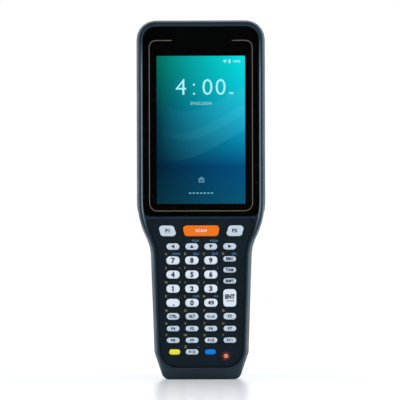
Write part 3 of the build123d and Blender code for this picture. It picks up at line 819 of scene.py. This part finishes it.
glass = {
    "inset": 3.8,
    "footZ": 102.8,
    "frontY": -18.0,
    "backY": -16.72,
    "edge": 0.1,
    "edgeSteps": 3,
    "edgeShare": 0.8,
    "corner": 3.2,
    "cornerSteps": 8,
    "borderInset": 0.03,
    "borderY": (-16.70, -16.64),
    "borderEdge": 0.01,
    "lineX": 32.4,
    "lineFoot": 106.1,
    "lineTop": 213.3,
    "lineRadius": 5.0,
    "lineTopRadius": 4.2,
    "lineWidth": 0.34,
    "lineEnds": (19.7, -18.2),
    "lineY": (-18.02, -17.97),
}
screen = {
    "side": 2.2,
    "topEnd": 3.95,
    "footEnd": 3.05,
    "corner": 0.25,
    "pictureY": (-16.62, -16.58),
    "pictureEdge": 0.005,
    "marksY": -16.63,
    "words": [
        # words, height, x, z, weight, squeeze
        ("4", 10.6, -12.4, 184.4, -0.004, 1.0),
        ("0", 10.6, 4.2, 184.4, -0.004, 1.0),
        ("0", 10.6, 12.5, 184.4, -0.004, 1.0),
        ("PM", 1.6, 19.1, 180.1, 0.012, 1.0),
        ("29.02.2024", 2.0, 0, 173.8, -0.008, 1.12),
        ("100%", 1.6, 22.5, 200.2, 0.012, 1.05),
    ],
    "brightBars": [
        # x, z, width, height, corner: the dots of the clock, then the battery sign
        (-4.3, 185.5, 1.3, 1.3, 0.6),
        (-4.3, 179.8, 1.3, 1.3, 0.6),
        (18.1, 200.1, 1.3, 2.1, 0.2),
        (18.1, 201.3, 0.6, 0.4, 0),
    ],
    "fan": (15.2, 199.1, 2.0, 50, 130),  # x, z, radius and angles of the signal sign
    "padlockBars": [
        (0.2, 124.25, 3.4, 0.35, 0),
        (0.2, 126.1, 3.4, 0.35, 0),
        (-1.33, 125.2, 0.35, 2.2, 0),
        (1.73, 125.2, 0.35, 2.2, 0),
        (0.2, 125.1, 0.5, 0.8, 0.2),
    ],
    "padlockBow": (0.2, 126.2, 1.15, 0.8),  # x, z, outer and inner radius
    "dashes": 7,
    "dashPitch": 2.3,
    "dash": (117.3, 1.5, 0.7, 0.3),  # z, width, height, corner
}
displayLow, displayHigh = boxOf("display_module")
pictureSides = (
    displayLow.x + screen["side"],
    displayLow.z + screen["footEnd"],
    displayHigh.x - screen["side"],
    displayHigh.z - screen["topEnd"],
)


def glassOutline(narrower=0.0):
    # the head's outline above the divider, with its two lower corners rounded
    inset, footZ, radius = glass["inset"] + narrower, glass["footZ"] + narrower, glass["corner"]
    kept = cutPath(bodyPath(inset, inset, steps=16), footZ + radius)
    foot = rightFoot(kept)
    sideX = kept[foot].x
    turns = quarterTurns(glass["cornerSteps"])[1:]
    corner = [Vector((sideX - radius * (1 - cos(a)), footZ + radius * (1 - sin(a)))) for a in turns]
    mirrored = [Vector((-p.x, p.y)) for p in reversed(corner)]
    return kept[foot + 1:] + kept[:foot + 1] + corner + mirrored


def coverGlass():
    outline = glassOutline()
    middleX, middleZ = [(min(along) + max(along)) / 2 for along in zip(*outline)]
    rings = [ringAt(outline, glass["backY"])]
    for angle in quarterTurns(glass["edgeSteps"]):
        inward = glass["edge"] * (1 - cos(angle)) * glass["edgeShare"]
        ring = [(x - copysign(inward, x - middleX), z - copysign(inward, z - middleZ)) for x, z in outline]
        rings.append(ringAt(ring, glass["frontY"] + glass["edge"] * (1 - sin(angle))))
    bm = bmesh.new()
    loftRings(bm, rings)
    piece = meshObject("coverGlass", bm, "coverGlass", 50)
    piece.data.materials.append(materials["inkBorder"])
    for face in piece.data.polygons:
        face.material_index = int(abs(face.normal.y) < 0.9)  # the edge is blackened
    return piece


def pictureOutline():
    return rectPath(*pictureSides, screen["corner"])


def glassBorder():
    outlines = [glassOutline(glass["borderInset"]), pictureOutline()]
    return flatPlate("glassBorder", outlines, *glass["borderY"], glass["borderEdge"], "inkBorder")


def accentLine():
    # thin printed line round the screen, open at the top
    half = glass["lineWidth"] / 2
    sides = []
    for grow in (half, -half):
        x = glass["lineX"] + grow
        top, foot = glass["lineTop"] + grow, glass["lineFoot"] - grow
        topRadius, radius = glass["lineTopRadius"] + grow, glass["lineRadius"] + grow
        corners = [(x, top, topRadius), (x, foot, radius), (-x, foot, radius), (-x, top, topRadius)]
        start, end = [Vector((endX, top)) for endX in glass["lineEnds"]]
        sides.append([start] + roundedPath(corners, 12) + [end])
    outer, inner = sides
    front, rear = glass["lineY"]
    lines = [ringAt(outer, front), ringAt(inner, front), ringAt(inner, rear), ringAt(outer, rear)]
    return openBand("accentLine", lines, "inkOrange")


def screenPicture():
    wallpaperMaterial(*pictureSides)
    return flatPlate(
        "screenPicture", [pictureOutline()], *screen["pictureY"], screen["pictureEdge"], "screenPicture"
    )


def screenMarks():
    # clock, date and signs at the top
    y = screen["marksY"]
    marks = []
    for words, tall, x, z, weight, squeeze in screen["words"]:
        marks.append(lettering(words, tall, x, z, y, weight=weight, squeeze=squeeze))
    marks += [shapePlate(barMark(*bar), y) for bar in screen["brightBars"]]
    fanX, fanZ, radius, start, end = screen["fan"]
    marks.append(shapePlate([(fanX, fanZ)] + arcPoints(fanX, fanZ, radius, start, end, 8), y))
    return joinMarks("screenMarks", marks, "glowWhite")


def screenIcons():
    # padlock and a row of dashes below it
    y = screen["marksY"]
    marks = [shapePlate(ringMark(*screen["padlockBow"], 0, 180), y)]
    marks += [shapePlate(barMark(*bar), y) for bar in screen["padlockBars"]]
    for place in range(screen["dashes"]):
        x = (place - (screen["dashes"] - 1) / 2) * screen["dashPitch"]
        marks.append(shapePlate(barMark(x, *screen["dash"]), y))
    return joinMarks("screenIcons", marks, "glowPale")


dress(coverGlass(), "terminal", "cover_glass", "touch_glass")
for piece in (glassBorder(), accentLine()):
    dress(piece, "terminal", "cover_glass")
for piece in (screenPicture(), screenMarks(), screenIcons()):
    dress(piece, "terminal", "display")
print("glass and screen made")

# keypad panel with rounded edges to its holes

panel = {
    "inset": 3.9,
    "footZ": 8.2,
    "footRadius": 10.0,
    "topZ": 100.7,
    "frontY": -17.3,
    "backY": -16.1,
    "edge": 0.12,
    "holeGap": 0.15,
    "flange": 0.5,
    "microphone": (10.7, 13.0, 0.5),  # x, z, radius
}
keyShape = {
    "cornerRadius": 2.3,
    "least": 0.05,
    "edge": 0.5,
    "edgeSteps": 5,
    "draft": 0.14,
    "trim": (0.18, 0.18, 0.4, 0.12),
    "trims": {
        # taken off the CAD outline at the left, right, top and foot
        "key_scan": (0.06, 0.06, 0.55, 0.0),
        "key_f1": (0.10, 0.60, 0.55, 0.0),
        "key_f2": (0.60, 0.05, 0.55, 0.0),
        "key_power": (0.35, 0.35, 0.0, 0.0),
    },
    "leans": {"key_scan": (0.55, -0.55), "key_f1": (0.7, 0.9), "key_f2": (-0.9, -0.7)},
    "topY": -18.44,
    "skirtY": -16.2,
    "backY": -15.15,
}


def keyPath(node, inset, steps=8):
    # outline of a key's cap, from its box in the frame
    low, high = boxOf(node)
    leanLeft, leanRight = keyShape["leans"].get(node, (0, 0))
    trimLeft, trimRight, trimTop, trimFoot = keyShape["trims"].get(node, keyShape["trim"])
    left = low.x + panel["flange"] - min(0, leanLeft) + trimLeft
    right = high.x - panel["flange"] - max(0, leanRight) - trimRight
    foot = low.z + panel["flange"] + trimFoot
    top = high.z - panel["flange"] - trimTop
    x, z = (left + right) / 2, (foot + top) / 2
    halfX, halfZ = (right - left) / 2, (top - foot) / 2
    if node == "key_power":
        return circlePath(x, z, halfX - inset, 48)
    corner = min(keyShape["cornerRadius"], halfZ - keyShape["least"])
    centres = [
        (halfX - corner, halfZ - corner),
        (corner - halfX, halfZ - corner),
        (corner - halfX + leanLeft, corner - halfZ),
        (halfX - corner + leanRight, corner - halfZ),
    ]
    path = []
    for quarter, (cx, cz) in enumerate(centres):
        path += arcPoints(x + cx, z + cz, corner - inset, 90 * quarter, 90 * quarter + 90, steps)
    return path


def keypadPlate():
    inset = panel["inset"]
    outline = cutPath(bodyPath(inset, inset, panel["footZ"], panel["footRadius"], 16), 0, panel["topZ"])
    holes = [keyPath(node, -panel["holeGap"], 5) for node in keyNodes]
    holes.append(circlePath(*panel["microphone"], 16))
    return flatPlate(
        "keypadPlate", [outline] + holes, panel["frontY"], panel["backY"], panel["edge"], "panelBlack"
    )


dress(keypadPlate(), "terminal", "panel_black", "keypad_panel")
print("keypad panel made")

# keys with rounded caps, and what is printed on them

keyColours = {
    # material and slot of the keys that aren't grey
    "key_scan": ("keyOrange", "key_orange"),
    "key_yellow": ("keyYellow", "key_yellow"),
    "key_blue": ("keyBlue", "key_blue"),
    "key_power": ("keyRed", "key_red"),
    "key_enter": ("keyWhite", "key_grey"),
}
for name in [*"0123456789", "point", "backspace"]:
    keyColours["key_" + name] = ("keyWhite", "key_white")

legends = {
    # key: words, height, weight, squeeze, height above the middle
    "key_f1": ("F1", 2.2, 0.045, 1.15, 0),
    "key_scan": ("SCAN", 1.9, 0.012, 1.05, 0),
    "key_f2": ("F2", 2.2, 0.045, 1.15, 0),
    "key_escape": ("ESC", 1.75, 0.06, 1.14, 0),
    "key_tab": ("TAB", 1.75, 0.06, 1.12, 0),
    "key_shift": ("SHIFT", 1.7, 0.06, 0.9, 0),
    "key_enter": ("ENT", 2.7, 0.06, 0.88, 0.85),
    "key_control": ("CTRL", 1.85, 0.05, 0.78, 0),
    "key_alt": ("ALT", 1.85, 0.06, 0.84, 0),
}
for number in range(10):
    legends["key_" + str(number)] = (str(number), 3.05, 0.055, 1.0, 0)
for number in range(3, 13):
    legends["key_f" + str(number)] = ("F" + str(number), 1.75, 0.035, 1.14, 0)

signs = {
    # outlines round the middle of a key
    "key_enter": [barMark(0.3, -1.95, 4.9, 0.5)],
    "key_1": [[(-0.2, 1.5), (-0.95, 0.95), (-0.95, 0.45), (-0.2, 0.95)]],  # fuller flag of the figure
    "key_point": [barMark(0.4, -1.5, 0.95, 1.0, 0.4)],
    "key_space": [barMark(0, -0.5, 4.2, 0.5), barMark(-1.85, 0.1, 0.5, 1.2), barMark(1.85, 0.1, 0.5, 1.2)],
    "key_backspace": [[(1.9, 1.15), (-0.9, 1.15), (-2.0, 0), (-0.9, -1.15), (1.9, -1.15)]],
}
arrow = [(-1.25, -1.0), (1.25, -1.0), (0.0, 1.2)]
for name, turn in (("key_up", 0), ("key_left", 90), ("key_down", 180), ("key_right", -90)):
    signs[name] = [turned(arrow, turn)]
eraseCross = [turned(barMark(0, 0, 1.7, 0.32), turn, 0.35) for turn in (45, -45)]
crossLift = 0.015


def keyCap(node, material):
    edge, top = keyShape["edge"], keyShape["topY"]
    rings = [ringAt(keyPath(node, 0), y) for y in (keyShape["backY"], keyShape["skirtY"])]
    for angle in quarterTurns(keyShape["edgeSteps"]):
        path = keyPath(node, keyShape["draft"] + edge * (1 - cos(angle)))
        rings.append(ringAt(path, top + edge * (1 - sin(angle))))
    bm = bmesh.new()
    loftRings(bm, rings)
    return meshObject(node.replace("key_", "cap_"), bm, material)


def signPlates(node, outlines, faceY):
    x, z = boxMiddle(node)
    return [shapePlate([(x + a, z + b) for a, b in outline], faceY) for outline in outlines]


def keyMarks(node, faceY):
    # all that is printed on a key
    marks = []
    if node in legends:
        x, z = boxMiddle(node)
        words, tall, weight, squeeze, lift = legends[node]
        marks.append(lettering(words, tall, x, z + lift, faceY, weight=weight, squeeze=squeeze))
    return marks + signPlates(node, signs.get(node, []), faceY)


def makeKeys():
    faceY = keyShape["topY"] - lettersPrint["lift"]
    for node in keyNodes:
        material, slot = keyColours.get(node, ("keyGrey", "key_grey"))
        dress(keyCap(node, material), node, slot, node)
        marks = keyMarks(node, faceY)
        if marks:
            ink = "inkWhite" if node == "key_scan" else "inkDark"
            dress(joinMarks(node.replace("key_", "legend_"), marks, ink), node, slot)
        if node == "key_backspace":
            cross = signPlates(node, eraseCross, faceY - crossLift)
            dress(joinMarks("legend_backspace_cross", cross, "keyWhite"), node, slot)


makeKeys()
print("keys made")

# second meanings of the keys, printed on the panel above them, and the ring round the power key

panelMarks = {
    # a blue word or pale sign at the right; at the left the letters A to Z, in this order
    "words": {
        "7": "HOME", "8": "END", "9": "BKSP", "escape": "DEL",
        "4": "+", "5": "-", "6": "/",
        "1": "=", "2": "(", "3": ")",
        "point": ",", "0": "CAPS", "backspace": "INS",
        "control": "", "alt": "", "space": "",
        **{"f" + str(number): "" for number in range(3, 12)}, "f12": "!",
    },
    "arrowWords": {"up": "PGUP", "down": "PGDN"},
    "rise": 1.15,
    "letterHeight": 1.5,
    "letterWeight": 0.02,
    "wordHeight": 1.4,
    "wordSqueeze": 0.95,
    "letterShift": 0.1,
    "wordShift": 0.3,
    "signShift": -0.2,
    "powerRing": (2.75, 2.0, 0, 359.9, 48),  # outer and inner radius, angles, steps
}


def panelPrint():
    faceY = panel["frontY"] - lettersPrint["lift"]
    rows = [(key, chr(ord("A") + i), word) for i, (key, word) in enumerate(panelMarks["words"].items())]
    rows += [(key, "", word) for key, word in panelMarks["arrowWords"].items()]
    yellow, blue, pale = [], [], []
    for key, letter, word in rows:
        low, high = boxOf("key_" + key)
        left, right = low.x + panel["flange"], high.x - panel["flange"]
        z = high.z - panel["flange"] + panelMarks["rise"]
        tall, weight = panelMarks["wordHeight"], panelMarks["letterWeight"]
        if letter:
            x = left + panelMarks["letterShift"]
            yellow.append(lettering(letter, panelMarks["letterHeight"], x, z, faceY, weight=weight))
        if len(word) > 1:
            x = right + panelMarks["wordShift"]
            blue.append(lettering(word, tall, x, z, faceY, "RIGHT", squeeze=panelMarks["wordSqueeze"]))
        elif word:
            x = right + panelMarks["signShift"]
            pale.append(lettering(word, tall, x, z, faceY, weight=weight))
    ring = [shapePlate(ringMark(*boxMiddle("key_power"), *panelMarks["powerRing"]), faceY)]
    return [
        joinMarks("lettersYellow", yellow, "inkYellow"),
        joinMarks("wordsBlue", blue, "inkBlue"),
        joinMarks("signsPale", pale, "inkPale"),
        joinMarks("powerRing", ring, "inkRed"),
    ]


for piece in panelPrint():
    dress(piece, "terminal", "panel_black")
print("print on the panel made")

# details of the back: camera lens, flash, screw sockets and ribs on the battery

back = {
    "cameraPlates": [
        # name, x, radii, sides, how far it is sunk in the camera's face and stands out of it, edge, material
        ("lensRing", -5.5, (3.5, 2.9), 48, 0.22, 0.22, 0.08, "ringSteel"),
        ("lens", -5.5, (2.85,), 48, 0.22, 0.06, 0.05, "cameraGlass"),
        ("lensPupil", -5.5, (1.2,), 32, 0.0, 0.09, 0.02, "speakerBlack"),
        ("flash", 5.5, (1.7,), 32, 0.22, 0.08, 0.06, "flashLens"),
    ],
    "screwX": 33.8,
    "screwLow": 131.0,
    "screwHigh": 207.0,
    "footScrewX": 14.5,
    "footScrewZ": 5.2,
    "screwRadius": 1.72,
    "socketRadius": 0.85,
    "screwSunk": 0.02,
    "screwRise": 0.35,
    "screwEdge": 0.1,
    "ribWidth": 30.0,
    "ribHeight": 1.1,
    "ribCorner": 0.5,
    "ribPitch": 3.4,
    "ribFoot": 34.0,
    "ribs": 7,
    "ribSunk": 0.2,
    "ribRise": 0.32,
    "ribEdge": 0.15,
}


def lensParts():
    z = boxMiddle("rear_camera")[1]
    face = boxOf("rear_camera")[1].y
    parts = []
    for name, x, radii, sides, sunk, rise, edge, material in back["cameraPlates"]:
        outlines = [circlePath(x, z, radius, sides) for radius in radii]
        parts.append(flatPlate(name, outlines, face - sunk, face + rise, edge, material))
    return parts


def screwSockets():
    face = boxOf("housing_screws")[1].y
    places = [(side * back["screwX"], z) for side in (-1, 1) for z in (back["screwLow"], back["screwHigh"])]
    places += [(side * back["footScrewX"], back["footScrewZ"]) for side in (-1, 1)]
    outlines = []
    for x, z in places:
        outlines.append(circlePath(x, z, back["screwRadius"]))
        outlines.append(circlePath(x, z, back["socketRadius"], 6))
    front, rear = face - back["screwSunk"], face + back["screwRise"]
    return flatPlate("screwSockets", outlines, front, rear, back["screwEdge"], "screwSteel")


def batteryRibs():
    face = boxOf("battery_pack")[1].y
    rib = (back["ribWidth"], back["ribHeight"], back["ribCorner"])
    outlines = [barMark(0, back["ribFoot"] + k * back["ribPitch"], *rib) for k in range(back["ribs"])]
    front, rear = face - back["ribSunk"], face + back["ribRise"]
    return flatPlate("batteryRibs", outlines, front, rear, back["ribEdge"], "batteryBlack")


for part in lensParts():
    dress(part, "terminal", "camera_glass")
dress(screwSockets(), "terminal", "screw_steel")
dress(batteryRibs(), "battery_pack", "battery_black")
print("details of the back made")

# CAD nodes that stay get their materials

cadFinishes = {
    "rear_housing": "housingSlate",
    "housing_gasket": "sealRubber",
    "display_module": "screenFrame",
    "keypad_mat": "matSilicone",
    "snap_domes": "domeSteel",
    "keypad_board": "boardGreen",
    "inner_chassis": "chassisAlloy",
    "main_board": "boardGreen",
    "scan_engine": "engineAlloy",
    "scan_window": "scanGlass",
    "battery_pack": "batteryBlack",
    "battery_latch": "latchOrange",
    "battery_contacts": "contactGold",
    "dock_contacts": "contactGold",
    "speaker": "speakerBlack",
    "rear_camera": "cameraGlass",
    "housing_screws": "screwSteel",
}
for node, material in cadFinishes.items():
    cadNodes[node].data.materials.clear()
    cadNodes[node].data.materials.append(materials[material])

# stage, lamps and camera, in metres

stage = {
    "cameraDistance": 5.0,
    "viewSpan": 0.2515,
    "cameraZ": 0.11295,
    "cameraX": -0.0007,
    "cameraRoll": 0.17,
    "sensorWidth": 36,
    "worldDiffuse": 0.57,
    "worldDark": 0.02,
    "darkTo": -0.3,
    "lightFrom": 0.4,
    "lightWay": (0, 1, -0.12),
    "coolLight": (0.92, 0.96, 1.0, 1),
    "white": (1, 1, 1, 1),
    "floorSize": 4,
    "floorColour": 0.55,
    "floorRoughness": 0.22,
    # the weaker glow near the object is painted shadow
    "floorGlow": (0.10, 0.60, 0.21, 0.44),  # from and to this far out, glow there
}
lamps = {
    # name: place, target, width, height, watts
    "leftBox": ((-1.1, -0.15, 0.25), (0, 0, 0.11), 0.6, 1.2, 12.5),
    "rightBox": ((1.1, -0.15, 0.25), (0, 0, 0.11), 0.6, 1.2, 17.0),
    "frontBox": ((0, -1.6, 1.3), (0, 0, 0.11), 1.0, 0.7, 15.0),
}


def rayKind(owner, *names):
    # 1 for a ray of any of the named kinds
    path = addNode(owner, "ShaderNodeLightPath")
    value = path.outputs[names[0]]
    for name in names[1:]:
        value = calculated(owner, "MAXIMUM", value, path.outputs[name])
    return value


def makeFloor():
    bm = bmesh.new()
    bmesh.ops.create_grid(bm, x_segments=4, y_segments=4, size=stage["floorSize"])
    mesh = bpy.data.meshes.new("floor")
    bm.to_mesh(mesh)
    bm.free()
    placeObject("floor", mesh)
    # for the camera the floor glows, more so away from the object; the weaker glow near it is painted
    # shadow, added to its real shadow and reflection
    material = newMaterial("floorWhite", [stage["floorColour"]] * 3, stage["floorRoughness"])
    place = addNode(material, "ShaderNodeTexCoord").outputs["Object"]
    away = addNode(material, "ShaderNodeVectorMath", {0: place}, operation="LENGTH").outputs["Value"]
    near, far, glowNear, glowFar = stage["floorGlow"]
    glow = spread(material, away, glowNear, glowFar, near, far)
    seen = rayKind(material, "Is Camera Ray", "Is Glossy Ray", "Is Transmission Ray")
    setSurface(material, {
        "Emission Color": stage["white"],
        "Emission Strength": calculated(material, "MULTIPLY", seen, glow),
    })
    mesh.materials.append(material)


def makeWorld():
    # even light, white for the camera, and in reflections dark on the camera's side of the room
    world = bpy.data.worlds.new("studio")
    bpy.context.scene.world = world
    world.use_nodes = True
    place = addNode(world, "ShaderNodeTexCoord").outputs["Generated"]
    inputs = {0: place, 1: stage["lightWay"]}
    toward = addNode(world, "ShaderNodeVectorMath", inputs, operation="DOT_PRODUCT").outputs["Value"]
    shine = spread(world, toward, stage["worldDark"], 1.0, stage["darkTo"], stage["lightFrom"])
    strength = mixed(world, "FLOAT", rayKind(world, "Is Glossy Ray"), stage["worldDiffuse"], shine)
    strength = mixed(world, "FLOAT", rayKind(world, "Is Camera Ray"), strength, 1.0)
    tint = mixed(world, "RGBA", rayKind(world, "Is Camera Ray"), stage["coolLight"], stage["white"])
    setInputs(world, world.node_tree.nodes["Background"], {"Strength": strength, "Color": tint})


def makeLamps():
    for name, (place, target, width, height, watts) in lamps.items():
        data = bpy.data.lights.new(name, "AREA")
        data.shape = "RECTANGLE"
        data.size = width
        data.size_y = height
        data.energy = watts
        data.color = stage["coolLight"][:3]
        lamp = placeObject(name, data)
        lamp.location = place
        lamp.rotation_euler = (Vector(target) - Vector(place)).to_track_quat("-Z", "Y").to_euler()
        lamp.visible_glossy = name != "frontBox"  # the front light stays out of the shine


def makeCamera():
    camera = placeObject("camera", bpy.data.cameras.new("camera"))
    camera.location = (stage["cameraX"], cadLow.y - stage["cameraDistance"], stage["cameraZ"])
    camera.rotation_euler = (pi / 2, radians(stage["cameraRoll"]), 0)
    camera.data.sensor_width = stage["sensorWidth"]
    camera.data.lens = stage["sensorWidth"] * stage["cameraDistance"] / stage["viewSpan"]
    camera.data.clip_end = 10 * stage["cameraDistance"]
    bpy.context.scene.camera = camera


makeFloor()
makeWorld()
makeLamps()
makeCamera()
bpy.context.scene.view_settings.view_transform = "Standard"
print("stage, lamps and camera made")
